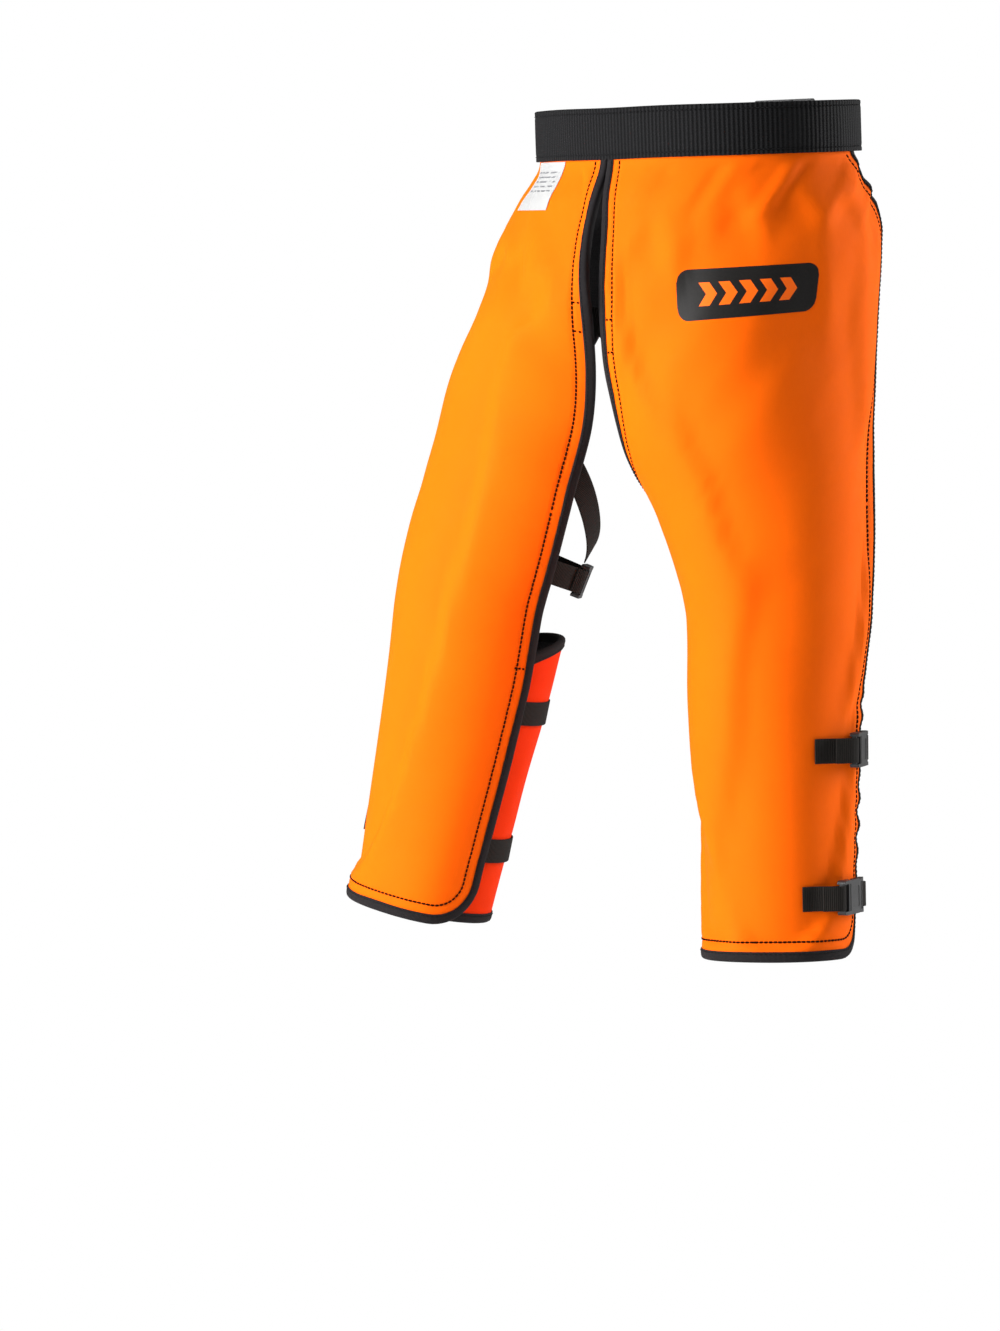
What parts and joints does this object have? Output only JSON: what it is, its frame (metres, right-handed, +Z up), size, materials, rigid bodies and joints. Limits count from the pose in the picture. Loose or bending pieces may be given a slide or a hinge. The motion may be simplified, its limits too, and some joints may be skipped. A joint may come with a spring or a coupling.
{
  "type": "chainsaw chaps",
  "caption": "Padded orange leg protectors on a black webbing waistband, with calf wraps and side-release buckle straps behind the waist, thighs and calves.",
  "frame": {"origin": "centre of the worn waist, half way up the waistband", "axes": "+Z up, the wearer faces -Y, the wearer's left is +X; rest is a standing stance with the right leg stepped out and forwards"},
  "size_m": [0.5412, 0.3424, 0.8561],
  "materials": {
    "orange_fabric": "woven high-visibility polyester, slight sheen",
    "pad": "felted cut-stopping fibre",
    "lining": "fine mesh",
    "webbing": "ribbed woven webbing",
    "binding": "folded woven tape",
    "buckle_plastic": "moulded satin plastic",
    "label_fabric": "satin tape",
    "print_ink": "screen print"
  },
  "bodies": {
    "waist": {"waistband": "webbing", "belt_long_strap": "webbing", "belt_short_strap": "webbing", "waist_buckle_female": "buckle_plastic", "hip_shells": "orange_fabric", "hip_pads": "pad", "hip_linings": "lining", "hip_bindings": "binding", "crotch_bridge": "webbing", "care_label": "label_fabric", "thigh_print": "print_ink"},
    "belt_male": {"waist_buckle_male": "buckle_plastic", "waist_buckle_prongs": "buckle_plastic"},
    "left_thigh": {"left_thigh_shell": "orange_fabric", "left_thigh_pad": "pad", "left_thigh_lining": "lining", "left_thigh_binding": "binding", "left_thigh_straps": "webbing", "left_thigh_buckle_female": "buckle_plastic"},
    "left_shin": {"left_shin_shell": "orange_fabric", "left_shin_pad": "pad", "left_shin_lining": "lining", "left_shin_binding": "binding", "left_wrap_shell": "orange_fabric", "left_wrap_pad": "pad", "left_wrap_lining": "lining", "left_wrap_binding": "binding", "left_calf_straps": "webbing", "left_calf_strap_stubs": "webbing", "left_calf_buckle_females": "buckle_plastic"},
    "left_thigh_male": {"left_thigh_buckle_male": "buckle_plastic", "left_thigh_buckle_prongs": "buckle_plastic"},
    "left_calf_upper_male": {"left_calf_upper_buckle_male": "buckle_plastic", "left_calf_upper_buckle_prongs": "buckle_plastic"},
    "left_calf_lower_male": {"left_calf_lower_buckle_male": "buckle_plastic", "left_calf_lower_buckle_prongs": "buckle_plastic"},
    "right_thigh": {"right_thigh_shell": "orange_fabric", "right_thigh_pad": "pad", "right_thigh_lining": "lining", "right_thigh_binding": "binding", "right_thigh_straps": "webbing", "right_thigh_buckle_female": "buckle_plastic"},
    "right_shin": {"right_shin_shell": "orange_fabric", "right_shin_pad": "pad", "right_shin_lining": "lining", "right_shin_binding": "binding", "right_wrap_shell": "orange_fabric", "right_wrap_pad": "pad", "right_wrap_lining": "lining", "right_wrap_binding": "binding", "right_calf_straps": "webbing", "right_calf_strap_stubs": "webbing", "right_calf_buckle_females": "buckle_plastic"},
    "right_thigh_male": {"right_thigh_buckle_male": "buckle_plastic", "right_thigh_buckle_prongs": "buckle_plastic"},
    "right_calf_upper_male": {"right_calf_upper_buckle_male": "buckle_plastic", "right_calf_upper_buckle_prongs": "buckle_plastic"},
    "right_calf_lower_male": {"right_calf_lower_buckle_male": "buckle_plastic", "right_calf_lower_buckle_prongs": "buckle_plastic"}
  },
  "joints": [
    {"name": "belt_buckle_release", "type": "slide", "parent": "waist", "child": "belt_male", "axis": [1, 0, 0], "range_m": [0, 0.04], "deforming": ["waist_buckle_prongs", "belt_long_strap"]},
    {"name": "left_hip_bend", "type": "hinge", "parent": "waist", "child": "left_thigh", "pos_m": [0.095, -0.04, -0.19], "axis": [-1, 0, 0], "range_deg": [-15, 45], "stiffness_Nm_per_rad": 3, "springref_deg": -1.9, "deforming": ["hip_shells", "hip_pads", "hip_linings", "hip_bindings"]},
    {"name": "left_knee_bend", "type": "hinge", "parent": "left_thigh", "child": "left_shin", "pos_m": [0.08776, 0.04923, -0.47827], "axis": [0.9394, 0.3427, 0.0114], "range_deg": [0, 60], "stiffness_Nm_per_rad": 3, "springref_deg": -3.16},
    {"name": "left_thigh_buckle_release", "type": "slide", "parent": "left_thigh", "child": "left_thigh_male", "axis": [0.57, 0.8159, 0.0975], "range_m": [0, 0.03], "deforming": ["left_thigh_buckle_prongs", "left_thigh_straps"]},
    {"name": "left_calf_upper_buckle_release", "type": "slide", "parent": "left_shin", "child": "left_calf_upper_male", "axis": [-0.4695, 0.8829, -0.0021], "range_m": [0, 0.03], "deforming": ["left_calf_upper_buckle_prongs", "left_calf_straps"]},
    {"name": "left_calf_lower_buckle_release", "type": "slide", "parent": "left_shin", "child": "left_calf_lower_male", "axis": [-0.3091, 0.951, 0.0073], "range_m": [0, 0.03], "deforming": ["left_calf_lower_buckle_prongs"]},
    {"name": "right_hip_bend", "type": "hinge", "parent": "waist", "child": "right_thigh", "pos_m": [-0.095, -0.04, -0.19], "axis": [-1, 0, 0], "range_deg": [-20, 45], "stiffness_Nm_per_rad": 3, "springref_deg": 5.52},
    {"name": "right_knee_bend", "type": "hinge", "parent": "right_thigh", "child": "right_shin", "pos_m": [-0.17477, -0.05664, -0.4642], "axis": [0.8741, -0.4658, -0.1381], "range_deg": [0, 40], "stiffness_Nm_per_rad": 3, "springref_deg": -4.46},
    {"name": "right_thigh_buckle_release", "type": "slide", "parent": "right_thigh", "child": "right_thigh_male", "axis": [-0.604, 0.7968, -0.0153], "range_m": [0, 0.03], "deforming": ["right_thigh_buckle_prongs", "right_thigh_straps"]},
    {"name": "right_calf_upper_buckle_release", "type": "slide", "parent": "right_shin", "child": "right_calf_upper_male", "axis": [0.4465, 0.8804, -0.1599], "range_m": [0, 0.03], "deforming": ["right_calf_upper_buckle_prongs", "right_calf_straps"]},
    {"name": "right_calf_lower_buckle_release", "type": "slide", "parent": "right_shin", "child": "right_calf_lower_male", "axis": [0.2891, 0.9486, -0.1285], "range_m": [0, 0.03], "deforming": ["right_calf_lower_buckle_prongs"]}
  ]
}
